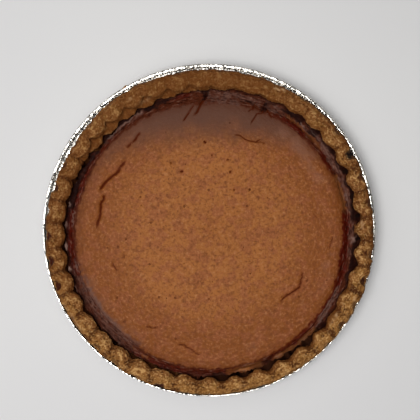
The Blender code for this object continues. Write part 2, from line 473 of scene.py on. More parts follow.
@dataclass(frozen=True)
class BakedPastry:
    """Short wholemeal pastry, rolled, fluted by hand and baked brown.

    It is dry and matte, golden and brown by turns, with specks of bran. Its crevices and the creases between
    its lobes are painted darker as shade and its crags paler as highlight. Where custard boiled against it,
    it is stained nearly black; painted shadow lies under its lobes and in its notches and pits.
    """

    ground: str = "#82532B"
    coats: Coats = (
        Coat("cloud", "#6E421C", 0.60, 0.40, 0.62),
        Coat("olive", "#785523", 0.55, 0.52, 0.66),
        Coat("gold", "#A07038", 0.65),
        # Painted shade in the crevices and along the creases between lobes, and painted highlight on the
        # crags.
        Coat("crag", "#482509", 0.95, 0.48, 0.04),
        Coat("crag", "#C0925A", 0.90, 0.54, 0.90),
        Coat("grit", "#482709", 0.42, 0.47, 0.35),
        Coat("grit", "#C69C66", 0.46, 0.54, 0.66),
        # Darker pastry round the top, the left and the outer side, and painted shade on the lobes' rounded
        # tips.
        Coat("deeper_tone_and_tip_shade", "#633610", 0.80),
        Coat("flour", "#BC946A", 0.75),
        # Scorched pastry, and painted shade in the pits and along the creases between lobes.
        Coat("scorch_and_pit_shade", "#3C1504"),
        # Stained pastry, and painted shadow under the lobes.
        Coat("stain_and_shadow", "#40200D"),
        # Burnt pastry, and painted shadow in the notches and in the deepest pit.
        Coat("soot_and_shadow", "#100808"),
    )
    shine: Coat = Coat("stain_and_shadow", most=0.03, least=0.12)

    def make(self) -> bpy.types.Material:
        """The finished material."""
        clouds = {
            "cloud": Cloud(6 * MM),
            "olive": Cloud(4.5 * MM, 2.0),
            "grain": Cloud(1.6 * MM, 3.0, 0.65),
            "grit": Cloud(1.3 * MM, 2.0),
        }
        recipe = Recipe("baked_wholemeal_pastry", clouds)
        relief = (("grain", 0.5 * MM), ("grit", 0.25 * MM))
        return recipe.finish(self.ground, self.coats, relief, Roughness=0.85, Specular_IOR_Level=self.shine)


@dataclass(frozen=True)
class PumpkinCustard:
    """Set pumpkin custard under its baked skin.

    The skin is satin and orange brown, with dark pores. Towards the crust it turns purple brown, and in the
    trough it is burnt nearly black, with a deep red glaze where it still shines. Painted shadow darkens it
    along the lobes and under the notches, painted sheen lies pinkish by the plateau's edge, and painted
    highlights run along the trough's ridges. Each streak pattern is drawn out round the pie: its name, the
    mark that strengthens it, its length in millimetres and its width.
    """

    ground: str = "#965A28"
    coats: Coats = (
        Coat("cloud", "#9E602C", 0.50, 0.40, 0.64),
        Coat("toast", "#7D4314"),
        Coat("blush", "#884B2B", 0.58, 0.45, 0.60),
        Coat("mottle", "#6E3A14", 0.46, 0.51, 0.66),
        Coat("grain", "#643310", 0.75, 0.49, 0.33),
        Coat("grain", "#B0764A", 0.55, 0.53, 0.69),
        Coat("wrinkle", "#6A3614", 0.42, 0.48, 0.37),
        Coat("wrinkle", "#A66E48", 0.26, 0.54, 0.66),
        Coat("pores", "#5E2C0A", 0.80),
        Coat("bruise", "#583627"),
        # Painted sheen, soft and pinkish, by the plateau's edge.
        Coat("painted_sheen", "#8A5D47", 0.36),
        Coat("ring", "#4A2010"),
        Coat("glaze", "#4A1005"),
        Coat("ash", "#5A3B31"),
        Coat("seam", "#240C06", 0.85, 0.47, 0.34),
        Coat("seam", "#886252", 0.46, 0.55, 0.69),
        Coat("crack", "#481602"),
        Coat("fleck", "#240D08"),
        # Burnt skin, and painted shadow along the lobes and under the notches.
        Coat("soot_and_shadow", "#1C0A07"),
        # Pale bloom, and painted highlights along the trough's ridges.
        Coat("bloom_and_highlight", "#806459"),
        Coat("amber", "#8C562A"),
    )
    gloss: Coat = Coat("glaze", most=0.35, least=0.60)
    shine: Coat = Coat("dull", most=0.03, least=0.12)
    pore_spacing: float = 6.0 * MM
    streaks: tuple[tuple[str, str, float, float], ...] = (
        ("wrinkle", "streaky", 4.2, 1.5 * MM),
        ("seam", "ring", 5.5, 0.95 * MM),
    )

    def make(self) -> bpy.types.Material:
        """The finished material."""
        clouds = {
            "cloud": Cloud(20 * MM),
            "blush": Cloud(8 * MM),
            "mottle": Cloud(3.2 * MM, 3.0, 0.55),
            "grain": Cloud(2.2 * MM, 4.0, 0.72),
        }
        recipe = Recipe("set_pumpkin_custard", clouds)
        flat = recipe.add("VectorMath", 0, {0: recipe.place, 1: (1.0, 1.0, 0.0)}, operation="MULTIPLY")
        turn = recipe.add("VectorMath", 0, {0: flat}, operation="NORMALIZE")
        far = recipe.add("VectorMath", 1, {0: flat}, operation="LENGTH")
        for name, mark, arc, width in self.streaks:
            along = recipe.add("VectorMath", 0, {0: turn, "Scale": 100 / arc}, operation="SCALE")
            out = recipe.add("Math", 0, {0: far, 1: 1 / width}, operation="MULTIPLY")
            up = recipe.add("CombineXYZ", 0, {2: out})
            spot = recipe.add("VectorMath", 0, {0: along, 1: up}, operation="ADD")
            noisy = {"Vector": spot, "Scale": 1.0, "Detail": 3.0, "Roughness": 0.6}
            streak = recipe.add("TexNoise", "Fac", noisy)
            swing = recipe.add("Math", 0, {0: streak, 1: 0.5}, operation="SUBTRACT")
            mixed = {0: swing, 1: mark, 2: 0.5}
            recipe.sources[name] = recipe.add("Math", 0, mixed, operation="MULTIPLY_ADD")
        cell = {"Vector": recipe.place, "Scale": 1 / self.pore_spacing}
        recipe.sources["spread"] = recipe.add("TexVoronoi", "Color", cell)
        away = recipe.add("TexVoronoi", "Distance", cell)
        inner = {0: Coat("spread", "", 0.20, 0.48, 0.95), 1: away}
        recipe.sources["inner"] = recipe.add("Math", 0, inner, operation="SUBTRACT")
        recipe.sources["pores"] = recipe.feed(Coat("inner", end=0.06))
        skin = (("mottle", 0.30 * MM), ("grain", 0.14 * MM), ("wrinkle", 0.30 * MM), ("seam", 0.55 * MM))
        return recipe.finish(
            self.ground,
            self.coats,
            (*skin, ("pores", -0.35 * MM)),
            Roughness=self.gloss,
            Specular_IOR_Level=self.shine,
            Subsurface_Weight=0.05,
            Subsurface_Radius=(0.9, 0.35, 0.12),
            Subsurface_Scale=1.0 * MM,
        )


@dataclass(frozen=True)
class PaleTable:
    """Matte white paint, which shows as an even pale grey."""

    ground: str = "#DEDDDC"
    coats: Coats = (Coat("cloud", "#DAD9D9", 1.0, 0.3, 0.7),)

    def make(self) -> bpy.types.Material:
        """The finished material."""
        recipe = Recipe("matte_white_paint", {"cloud": Cloud(0.4, 1.0, 0.4)})
        return recipe.finish(self.ground, self.coats, Roughness=0.85)


# The pie


@dataclass(frozen=True)
class Tin:
    """The foil tin: base, sloping wall, flange and folded hem, with the pleats that the press leaves.

    The hem's section runs from its underside over its flat crown into the groove inside it. Each row has its
    inset and its rise in millimetres, then how far it follows the crown's outer edge, its inner edge and the
    groove's width, which change round the tin.
    """

    radius: float = 120.7 * MM
    height: float = 30.0 * MM
    base_radius: float = 87.0 * MM
    base_bend: float = 1.5 * MM
    flange_inner: float = 111.0 * MM
    flange_bend: float = 1.2 * MM
    foil: float = 0.4 * MM
    segments: int = 1280
    pleats: int = 200
    seed: int = 7
    wall_spacing: float = 2.4 * MM
    flange_spacing: float = 0.65 * MM
    pleat_width: float = 0.40 * MM
    pleat_depth: float = 0.36 * MM
    crinkle_depth: float = 0.34 * MM
    hem: tuple[Row, ...] = (
        (1.3, -1.5, 0, 0, 0), (0.8, -1.6, 0, 0, 0), (0.3, -1.4, 0, 0, 0), (0.05, -1.0, 0, 0, 0),
        (0, -0.5, 0, 0, 0), (0, -0.1, 0.5, 0, 0), (0, 0.25, 1, 0, 0), (0, 0.30, 0.92, 0.08, 0),
        (0, 0.28, 0.66, 0.34, 0), (0, 0.24, 0.34, 0.66, 0), (0, 0.20, 0.06, 0.94, 0), (0, 0.12, 0, 1, 0.05),
        (0, -0.24, 0, 1, 0.3), (0, -0.42, 0, 1, 0.72), (0, -0.48, 0, 1, 0.86), (0, -0.12, 0, 1, 1.30),
    )
    crown_outer: Stops = (
        (0, 1.25), (8, 1.2), (14, 1.1), (28, 0.8), (55, 0.75), (75, 0.6), (150, 0.6), (165, 0.5),
        (180, 0.3), (200, 0.15), (240, 0.25), (260, 0.35), (290, 0.4), (305, 0.6), (322, 0.9), (340, 1.2),
    )
    crown_inner: Stops = (
        (0, 1.7), (8, 2.2), (14, 2.3), (28, 2.1), (60, 2.2), (110, 2.2), (140, 1.95), (165, 1.6),
        (180, 1.2), (200, 0.9), (240, 0.92), (260, 0.98), (275, 0.92), (290, 0.95), (305, 1.05),
        (322, 1.25), (340, 1.6),
    )
    groove: Stops = (
        (0, 0.9), (60, 0.45), (130, 0.45), (150, 0.5), (165, 0.6), (178, 0.9), (200, 1.1), (240, 0.9),
        (300, 1),
    )
    # How strongly the gap inside the hem is painted with shade, round the tin.
    gap_shade_strength: Stops = (
        (0, 0.8), (14, 0.35), (60, 0.15), (90, 0.2), (110, 0.4), (140, 0.5), (152, 0.55), (170, 0.7),
        (184, 0.8), (192, 1), (284, 1), (300, 0.7), (322, 0.8), (345, 0.9),
    )
    finish: PressedFoil = PressedFoil()

    def profile(self) -> Array:
        """The wall's section.

        Returns:
            Rows of radius, height and the three shares of the hem's rows, from the base's middle outside,
            round the hem and back inside.
        """
        foil, bend, top, edge = self.foil, self.base_bend, self.height, self.radius
        under = [
            (0.0, 0.0),
            (self.base_radius - bend, 0.0),
            (self.base_radius, 0.7 * bend),
            (self.flange_inner, top - foil - self.flange_bend),
            (self.flange_inner + self.flange_bend, top - foil),
            (edge - 2.2 * MM, top - 0.95 * MM),
        ]
        hem = [(edge - inset * MM, top + rise * MM, *follows) for inset, rise, *follows in self.hem]
        flange = [(edge - 3.6 * MM, top - 0.1 * MM), (self.flange_inner + self.flange_bend, top)]
        inside = [
            (self.flange_inner - 0.8 * foil, top - self.flange_bend),
            (self.base_radius - 1.2 * foil, 0.7 * bend + 0.8 * foil),
            (self.base_radius - bend - 0.4 * foil, foil),
            (0.0, foil),
        ]
        plain = (self._divide(under, self.wall_spacing), self._divide(flange, self.flange_spacing) + inside)
        outer, inner = (np.pad(np.array(rows), ((0, 0), (0, 3))) for rows in plain)
        return np.vstack([outer, hem, inner])

    def _divide(self, points: list[Row], spacing: float) -> list[Row]:
        """Adds points along a section's straight stretches, about this far apart and at most 14 to each."""
        made = []
        for (r0, z0), (r1, z1) in zip(points, points[1:]):
            steps = max(1, min(15, round(math.hypot(r1 - r0, z1 - z0) / spacing)))
            made += [(r0 + (r1 - r0) * k / steps, z0 + (z1 - z0) * k / steps) for k in range(steps)]
        return made + [points[-1]]

    def relief(self, points: Array) -> Array:
        """How far the press and the handling moved each of the smooth tin's points outwards."""
        angle, radius = polar(points)
        picker = random.Random(self.seed)
        folds = np.zeros(len(points))
        for index in range(self.pleats):
            at = (index + picker.uniform(-0.38, 0.38)) / self.pleats * FULL_TURN
            slant = picker.uniform(-0.02, 0.02) * (radius - self.flange_inner) / (10 * MM)
            away = (angle - at - slant + math.pi) % FULL_TURN - math.pi
            folds += picker.uniform(0.3, 1.0) * np.exp(-((away * radius / self.pleat_width) ** 2))
        on_hem = fade(radius, self.radius - 2.6 * MM, self.radius - 2.0 * MM)
        on_wall = fade(points[:, 2], 2 * MM, 14 * MM) * (1 - 0.5 * on_hem)
        crinkled = 0.6 * ripple(points, 4.2 * MM, 3.0) + 0.4 * ripple(points, 1.6 * MM, 9.0)
        rumpled = fade(radius, 109 * MM, 113 * MM) * (1 - 0.6 * on_hem)
        flat = 0.05 * MM * ripple(points, 12 * MM, 5.0) * fade(radius, 3 * MM, 12 * MM)
        pressed = -self.pleat_depth * folds * on_wall
        return pressed + self.crinkle_depth * crinkled * rumpled + flat * (1 - on_wall)

    def build(self) -> Piece:
        """Makes the piece that stands for the foil_tin node."""
        profile = self.profile()
        body, row, step = turn_profile(profile, self.segments)
        angle = step / self.segments * FULL_TURN
        radius, height, *follows = profile[row].T
        for follow, stops in zip(follows, (self.crown_outer, self.crown_inner, self.groove)):
            radius = radius - follow * around(stops, angle) * MM
        points = turned(angle, radius, height)
        place_points(body, points)
        slope = (self.flange_inner - self.base_radius) / (self.height - self.base_bend)
        wall = self.base_radius + (height - 0.7 * self.base_bend) * slope
        inside = (radius < wall - 0.2 * self.foil) & (height > 0.5 * self.foil)
        roughen(body, self.relief(points) * np.where(inside, -1, 1))
        floor = read_points(body)
        floor[:, 2] = np.maximum(floor[:, 2], 0.0)
        place_points(body, floor)
        # Painted shade in the gap between the hem's crown and the crust, broken up by noise.
        inset = (self.radius - radius) / MM + 0.12 * ripple(points, 2.0 * MM, 6.0)
        brim = around(self.crown_inner, angle)
        gap_shade = fade(inset, brim - 0.15, brim + 0.3) * fade(inset, 4.0, 3.0) * around(self.gap_shade_strength, angle)
        gap_shade = gap_shade * fade(height, 26 * MM, 28 * MM) * fade(ripple(points, 1.8 * MM, 4.0), -1.4, -0.3)
        return make_piece(body, "tin", self.finish.make(), {"gap_shade": gap_shade})


@dataclass(frozen=True)
class Fluting:
    """How the thumb fluted the rim.

    Each flute is a notch in the rim's inner side, at an angle in degrees, then its depth in millimetres, and
    the depth of the pit in the outer side of the lobe that follows it.
    """

    flutes: tuple[Row, ...] = (
        (-3.8, 4.7, 0.8), (5.0, 4.7, 1.2), (14.6, 3.2, 1.4), (23.5, 4.4, 4.6), (32.7, 2.9, 1.6),
        (41.9, 2.6, 0.6), (50.8, 2.7, 0.5), (60.0, 1.6, 0.5), (69.6, 1.5, 0.4), (80.0, 1.8, 0.3),
        (89.2, 1.8, 0.3), (97.7, 2.6, 0.5), (106.5, 2.9, 0.4), (116.2, 4.4, 0.4), (124.6, 4.4, 0.6),
        (133.8, 4.3, 0.9), (142.7, 4.1, 1.1), (151.2, 4.0, 1.8), (160.0, 3.9, 2.6), (168.8, 2.8, 1.0),
        (177.3, 2.9, 2.8), (186.5, 4.1, 2.6), (195.4, 4.3, 2.8), (203.8, 4.4, 0.9), (212.7, 3.8, 0.7),
        (221.5, 2.4, 2.0), (230.4, 3.3, 1.8), (238.8, 3.8, 0.8), (247.3, 3.5, 2.2), (256.9, 2.9, 0.4),
        (265.4, 2.4, 0.4), (275.0, 4.1, 0.4), (283.8, 3.1, 0.4), (293.1, 4.5, 0.6), (301.9, 3.5, 1.0),
        (311.2, 4.4, 0.8), (320.0, 3.5, 2.0), (328.1, 2.2, 1.6), (337.3, 2.5, 3.4), (346.9, 4.7, 2.6),
    )
    crease: Stops = (
        (0, 1), (30, 0.6), (60, 0.2), (100, 0.4), (140, 0.5), (155, 0.8), (215, 0.8), (245, 0.6),
        (300, 0.6), (340, 1),
    )
    roundness: Stops = ((0, 0.9), (50, 0.8), (100, 0.3), (150, 0.1), (200, 0.2), (240, 0.4), (268, 1))

    def corners(self) -> Array:
        """The notches' angles, and the first one's again after a full turn, in degrees."""
        return np.array([flute[0] for flute in self.flutes] + [self.flutes[0][0] + 360.0])

    def place(self, angle: Array) -> Array:
        """How many flutes lie before each angle. A lobe is widest where this is a whole number and a half."""
        start = self.flutes[0][0]
        degrees = (np.degrees(angle) - start) % 360 + start
        return np.interp(degrees, self.corners(), np.arange(len(self.flutes) + 1))

    def edge(self, angle: Array) -> Array:
        """How near each angle is to a notch: 1 at a notch, and 0 halfway along a lobe."""
        return np.abs(2 * (self.place(angle) % 1.0) - 1)

    def notch(self, angle: Array) -> Array:
        """How far the notch is cut at each angle, in metres."""
        nearest = np.round(self.place(angle)).astype(int) % len(self.flutes)
        depths = np.array([flute[1] for flute in self.flutes])[nearest]
        soft, edge = around(self.roundness, angle), self.edge(angle)
        return ((1 - soft) * edge**2.4 + soft * (0.5 - 0.5 * np.cos(math.pi * edge))) * depths * MM

    def pit(self, angle: Array) -> Array:
        """How far the pit is pressed at each angle, in metres."""
        place = self.place(angle)
        depths = np.array([flute[2] for flute in self.flutes])[np.floor(place).astype(int) % len(self.flutes)]
        return fade(np.abs(place % 1.0 - 0.5), 0.26, 0.08) * depths * MM

    def fold(self, angle: Array) -> Array:
        """How strongly the crease between two lobes shows at each angle, 0 to 1."""
        away = np.abs((self.place(angle) + 0.5) % 1.0 - 0.5)
        return np.exp(-((away / 0.06) ** 2)) * around(self.crease, angle)


# The soot and scorch patches lie mostly in the pits on the rim's outer side: partly burnt pastry, partly
# painted shade.
CRUST_PATCHES: Patches = {
    Shade.SOOT_AND_SHADOW: ((26.4, 30.2, 110.9, 117.6, 0.95, 0.5), (272, 277.5, 100, 108.5, 0.6)),
    Shade.SCORCH_AND_PIT_SHADE: (
        (162.8, 166.2, 111.6, 115.2, 0.9, 0.8, 0.4), (180.4, 184.0, 111.4, 116.6, 1, 0.9, 0.35),
        (189.2, 193.2, 112.2, 117.2, 1, 0.9, 0.35), (198.2, 202.2, 112.2, 117.2, 0.95, 0.9, 0.35),
        (154.0, 157.2, 111.8, 114.8, 0.8, 0.8, 0.4), (250.2, 254.4, 114.2, 118, 1, 0.7),
        (340.2, 343.8, 113, 117.4, 1, 0.8), (350.2, 352.8, 110.6, 114, 0.8, 0.8),
        (8.8, 11.6, 112.6, 117, 0.7, 0.7), (17.8, 21.0, 111.6, 116.8, 0.8, 0.7),
        (36.2, 39.4, 112.4, 116.4, 0.5, 0.6), (135.4, 138.4, 113.6, 116, 0.6, 0.7),
        (146.0, 148.6, 113, 115.6, 0.6, 0.7), (224.2, 228.2, 113.4, 116.4, 0.7, 0.9),
        (233.0, 237.2, 112.8, 116.4, 0.6, 0.9), (322.8, 326.2, 113.4, 117.6, 0.8, 0.8),
        (331.2, 334.2, 113.8, 117.4, 0.6, 0.8), (256, 260, 115.4, 118.4, 0.6),
    ),
    Shade.FLOUR: (
        (61.0, 63.2, 112.6, 114.2), (63.0, 65.4, 111, 112.8), (0.6, 3.4, 107.8, 110.2, 0.7),
        (322, 324.6, 108.4, 110.4, 0.5), (325, 327.4, 107.8, 109.8, 0.8), (333.4, 335.6, 113.4, 115.4, 0.8),
        (211, 217, 114.8, 116.2, 0.6), (120.4, 122.2, 108.6, 110.6, 0.4), (148.8, 150.4, 111.4, 113.4, 0.5),
        (113.6, 118.6, 102.4, 105, 0.4), (280.2, 283.6, 112, 114.2, 0.4),
    ),
}


@dataclass(frozen=True)
class Crust:
    """The pastry shell: an even floor and wall inside the tin, and the fluted rim on the flange."""

    tin: Tin = Tin()
    fluting: Fluting = Fluting()
    gap: float = 0.3 * MM
    pastry: float = 3.7 * MM
    foot: float = 2.0 * MM
    rim_top: float = 40.0 * MM
    rim_outer: float = 117.4 * MM
    lobe_tip: float = 103.8 * MM
    wall_top: float = 32.6 * MM
    slump: float = 1.3 * MM
    crease_depth: float = 0.8 * MM
    rim_shift: Stops = (
        (0, 0.6), (8, 0.3), (15, 0.1), (30, 0.15), (45, 0), (56, -0.9), (63, -1.6), (75, -1.8), (90, -1.6),
        (100, -1.75), (112, -1.6), (117, -0.9), (122, -1.1), (128, -0.8), (136, -1.35), (143, -2.1),
        (150, -2.3), (158, -1.6), (165, -1.15), (178, 0.1), (190, 0.8), (197, 1.2), (210, 0.9), (219, 0.5),
        (227, 1), (240, 0.95), (255, 0.8), (270, 0.5), (285, 0.7), (293, 1), (302, 0.7), (312, 0.8),
        (320, 1.4), (333, 1.7), (338.5, 2), (345, 1.8), (354, 1.1),
    )
    lobe_shift: Stops = (
        (0, 0.65), (45, 0.25), (90, -2.9), (135, -1.55), (180, 0), (225, 0.9), (270, 1.4), (300, 1.4),
        (320, 1.2),
    )
    ledge: Stops = (
        (75, 0), (92, 1.6), (104, 4.2), (112, 5.4), (144, 5.2), (153, 2), (165, 1), (240, 0.8), (262, 0),
    )
    steps_per_flute: int = 36
    rim_spacing: float = 0.55 * MM
    lump: float = 0.42 * MM
    pleat: float = 0.30 * MM
    crumb: float = 0.30 * MM
    grit: float = 0.16 * MM
    stain_top: Stops = (
        (0, 36.4), (60, 36), (92, 34.6), (104, 33.2), (146, 33.2), (154, 35.8), (215, 35.2), (228, 34.2),
        (258, 34.4), (270, 35.4), (340, 36.4),
    )
    # How strongly the lobes' painted shadow lies on the ledge beneath them, round the pie.
    seam: Stops = ((70, 0), (95, 0.36), (148, 0.36), (160, 0))
    # How far the stained inner wall goes nearly black round the pie: burnt, and painted shadow in the
    # notches.
    burnt: Stops = ((0, 0.9), (28, 0.8), (45, 0), (255, 0), (272, 0.6), (330, 0.6), (345, 0.9))
    toasted: Stops = ((0, 0.9), (45, 0.9), (75, 0.4), (140, 0.3), (190, 0.1), (330, 0.2), (350, 0.8))
    # How strongly the lobes' rounded tips are painted with shade, round the pie.
    tip_shade: Stops = (
        (0, 0.4), (60, 0.9), (95, 0.8), (105, 0.9), (150, 0.95), (200, 0.8), (225, 0.3), (255, 0.2),
        (280, 0.8), (325, 0.95), (345, 0.5),
    )
    brown: Stops = (
        (10, 0), (35, 0.25), (50, 0.45), (60, 0.6), (75, 0.8), (105, 0.8), (125, 0.6), (140, 0.45),
        (150, 0.55), (200, 0.45), (235, 0),
    )
    outer_gold: Stops = (
        (180, 0), (205, 0.6), (240, 0.5), (262, 0.7), (300, 0.7), (325, 0.8), (345, 0.7), (358, 0),
    )
    ridge_gold: Stops = ((15, 0), (28, 0.6), (50, 0.45), (62, 0))
    finish: BakedPastry = BakedPastry()

    def wall_radius(self, height: float, thickness: float) -> float:
        """Radius of a cone that lies the given thickness inside the tin's wall."""
        rise = self.tin.height - self.tin.base_bend
        run = self.tin.flange_inner - self.tin.base_radius
        climbed = run * (height - 0.7 * self.tin.base_bend) / rise
        return self.tin.base_radius + climbed - (self.tin.foil + thickness) * (math.hypot(rise, run) / rise)

    def rim_rows(self) -> list[Row]:
        """The rim's section from its outer foot.

        Returns:
            Rows of radius, height, and how far each point follows the notches, the pits, the lobe line and
            the ledge.
        """
        outer, tip, top, hem = self.rim_outer, self.lobe_tip, self.rim_top, self.tin.height
        return [
            (self.tin.flange_inner + 1.1 * MM, hem + self.gap, 0, 0, 0, 0),
            (outer - 1.6 * MM, hem + self.gap + 0.1 * MM, 0, 0, 0, 0),
            (outer, hem + 2.2 * MM, 0, 0.1, 0, 0),
            (outer - 0.2 * MM, top - 4.6 * MM, 0, 0.9, 0, 0),
            (outer - 1.8 * MM, top - 1.2 * MM, 0.1, 1, 0.2, 0),
            (0.52 * outer + 0.48 * tip, top, 0.35, 0.3, 0.5, 0),
            (tip + 2.0 * MM, top - 0.9 * MM, 0.85, 0, 1, 0),
            (tip, top - 3.2 * MM, 1, 0, 1, 0),
            (tip + 0.9 * MM, top - 5.6 * MM, 0.8, 0, 0.9, 0.75),
            (self.wall_radius(self.wall_top, self.gap + self.pastry), self.wall_top, 0, 0, 0, 1),
        ]

    def shape(self, angle: Array, rows: Array) -> tuple[Array, Array]:
        """Works the fluting into the rim.

        Args:
            angle: The angle of each point.
            rows: The row of the rim's section that each point belongs to, or one row for all.

        Returns:
            The radius and the height of each point.
        """
        radius, height, notched, pitted, lobed, ledged = rows.T
        notch, pit = self.fluting.notch(angle), self.fluting.pit(angle)
        shift = around(self.lobe_shift, angle) * lobed + around(self.rim_shift, angle) * (1 - lobed)
        shelf = around(self.ledge, angle)
        ledge = shelf * (0.3 + 0.7 * fade(self.fluting.edge(angle), 0.0, 0.72))
        ledge = ledge * (1 + 0.12 * wander(angle, 9.0, 21.0))
        notched = notched * (1 - ledged * shelf / 6.0)
        radius = radius + notch * notched - pit * pitted + (shift - ledge * ledged) * MM
        radius = radius + 0.35 * MM * wander(angle, 7.0, 7.0) * lobed
        standing = np.clip((height - self.tin.height - self.gap) / (self.rim_top - self.tin.height), 0, None)
        fold = self.crease_depth * self.fluting.fold(angle) * (0.3 + 0.7 * notched)
        dip = 0.2 * (notch * notched + pit * pitted) + fold
        slump = self.slump * np.maximum(0.0, np.sin(angle)) ** 2
        return radius, height + standing * (0.8 * MM * wander(angle, 4.0, 1.0) - dip - slump)

    def crags(self, points: Array, along: Array) -> tuple[Array, Array]:
        """The pastry's roughness.

        Args:
            points: The shell's vertices.
            along: How far along the rim's section each lies, from its outer foot.

        Returns:
            How far each point stands out, and where between crevice and crag it lies, 0 to 1.
        """
        angle, _ = polar(points)
        sheets = ripple(turned(angle, 110 / 5.0, along / (1.7 * MM)), 1.0, 2.0)
        crumbs, lumps = ripple(points, 2.3 * MM, 4.0), ripple(points, 3.8 * MM, 12.0)
        grit = ripple(points, 1.05 * MM, 8.0)
        height = self.lump * ripple(points, 5.5 * MM, 1.0) + self.pleat * sheets + self.crumb * crumbs
        crease = around(self.fluting.crease, angle) * fade(self.fluting.edge(angle), 0.4, 1.0)
        # Lower in the crevices and along the creases between lobes, higher on the crags: it carries painted
        # shade and highlight.
        level = 0.52 + 0.16 * sheets + 0.20 * lumps + 0.20 * crumbs + 0.28 * grit - 0.38 * crease
        return height + self.grit * grit, level

    def inner_wall(self, angle: Array, height: Array) -> Array:
        """Radius of the rim's inner side at a height between the wall's top and the lobes' tips."""
        high, middle, low = (self.shape(angle, np.array(row)) for row in self.rim_rows()[-3:])
        lower = np.clip((height - low[1]) / (middle[1] - low[1]), 0, 1)
        upper = np.clip((height - middle[1]) / (high[1] - middle[1]), 0, 1)
        return low[0] + (middle[0] - low[0]) * lower + (high[0] - middle[0]) * upper

    def outline(self, angle: Array) -> Array:
        """Radius of the lobes' inner edge, as seen from above."""
        return self.shape(angle, np.array(self.rim_rows()[-3]))[0]

    def build(self) -> Piece:
        """Makes the piece that stands for the crust node."""
        bottom, under_top = self.tin.foil + self.gap, self.tin.height - 1.5 * MM
        floor, inside = bottom + self.pastry, self.gap + self.pastry
        outer = [
            (0.0, bottom),
            (self.wall_radius(bottom, self.gap) - 1.2 * MM, bottom),
            (self.wall_radius(under_top, self.gap), under_top),
        ]
        inner = [
            (self.wall_radius(floor + self.foot, inside), floor + self.foot),
            (self.wall_radius(floor, inside) - self.foot, floor),
            (0.0, floor),
        ]
        rim = smooth_rows(self.rim_rows(), self.rim_spacing)
        profile = np.vstack([outer, rim[:, :2], inner])
        body, row, step = turn_profile(profile, len(self.fluting.flutes) * self.steps_per_flute)
        corners = self.fluting.corners()
        angle = np.radians(np.interp(step / self.steps_per_flute, np.arange(len(corners)), corners))
        radius, height = profile[row].T
        row -= len(outer)
        on_rim = (row >= 0) & (row < len(rim))
        radius[on_rim], height[on_rim] = self.shape(angle[on_rim], rim[row[on_rim]])
        points = turned(angle, radius, height)
        place_points(body, points)
        free = fade(height, self.tin.height + 0.3 * MM, self.tin.height + 2.5 * MM) * on_rim
        crags, level = self.crags(points, row * self.rim_spacing)
        roughen(body, crags * free)
        marks = {"crag": level, **self._marks(points, np.clip(row / len(rim), 0, 1) * on_rim)}
        return make_piece(body, "pastry_shell", self.finish.make(), marks)

    def _marks(self, points: Array, inward: Array) -> Marks:
        """Where the pastry is stained, scorched and floury, where it is darker round the pie and on its outer
        side, and where shade is painted in its pits, along its creases, under its lobes and on their tips.

        Args:
            points: The shell's vertices.
            inward: How far over the rim each lies: 0 at the outer foot, 1 inside.

        Returns:
            The values that the finish reads.
        """
        angle, distance = polar(points)
        degrees = np.degrees(angle) % 360 + 0.5 * ripple(points, 2.5 * MM, 3.0)
        marks = lay(CRUST_PATCHES, degrees, distance / MM + 0.5 * ripple(points, 2.0 * MM, 5.0))
        top = around(self.stain_top, angle) * MM + 0.8 * MM * ripple(points, 3.0 * MM, 2.0)
        lobes = self.outline(angle)
        # The lobes' painted shadow on the ledge beneath them, laid with the stain.
        seam = fade(distance, lobes - 1.6 * MM, lobes + 0.2 * MM) * around(self.seam, angle)
        marks["stain_and_shadow"] = np.maximum(fade(points[:, 2], top, top - 2.2 * MM), seam) * fade(inward, 0.62, 0.72)
        # The stained inner wall goes nearly black: burnt, and painted shadow in the notches.
        marks["soot_and_shadow"] = np.maximum(marks["soot_and_shadow"], around(self.burnt, angle) * marks["stain_and_shadow"])
        marks["flour"] *= 0.5 + 0.5 * fade(ripple(points, 1.3 * MM, 7.0), -0.6, 0.4)
        # Painted shade along the creases between lobes.
        folds = 0.55 * self.fluting.fold(angle) * fade(inward, 0.3, 0.45)
        marks["scorch_and_pit_shade"] = np.maximum(marks["scorch_and_pit_shade"], folds)
        outside = fade(distance, 111.5 * MM, 116.0 * MM) * around(self.toasted, angle)
        # Painted shade on the lobes' rounded tips.
        tips = around(self.tip_shade, angle) * fade(distance, lobes + 3.6 * MM, lobes + 0.4 * MM)
        marks["deeper_tone_and_tip_shade"] = np.max([around(self.brown, angle), 0.7 * outside, tips], axis=0)
        ridge = around(self.ridge_gold, angle) * fade(distance, 111 * MM, 107.5 * MM)
        spread = 0.35 + 0.65 * fade(distance, 108 * MM, 112.5 * MM)
        marks["gold"] = around(self.outer_gold, angle) * spread + ridge
        return marks


@dataclass(frozen=True)
class Crack:
    """A crack or fold in the filling's skin: its width, its depth and its path's points, in millimetres."""

    width: float
    depth: float
    path: tuple[tuple[float, float], ...]

    def reach(self, points: Array) -> tuple[Array, Array]:
        """How the filling's points lie about the crack.

        Args:
            points: One row per point, x and y first.

        Returns:
            Each point's distance from the crack, and the share of the crack's depth where it is nearest: 1
            along it, and less by its ends.
        """
        track = np.array(self.path) * MM
        lengths = np.hypot(*np.diff(track, axis=0).T)
        best, along, run = np.full(len(points), 1.0), np.zeros(len(points)), 0.0
        for start, end, length in zip(track, track[1:], lengths):
            ahead = (end - start) / length
            offset = points[:, :2] - start
            t = np.clip(offset @ ahead, 0, length)
            away = np.hypot(*(offset - t[:, None] * ahead).T)
            nearer = away < best
            best = np.where(nearer, away, best)
            along = np.where(nearer, (run + t) / lengths.sum(), along)
            run += length
        return best, fade(np.minimum(along, 1 - along), 0.0, 0.15)


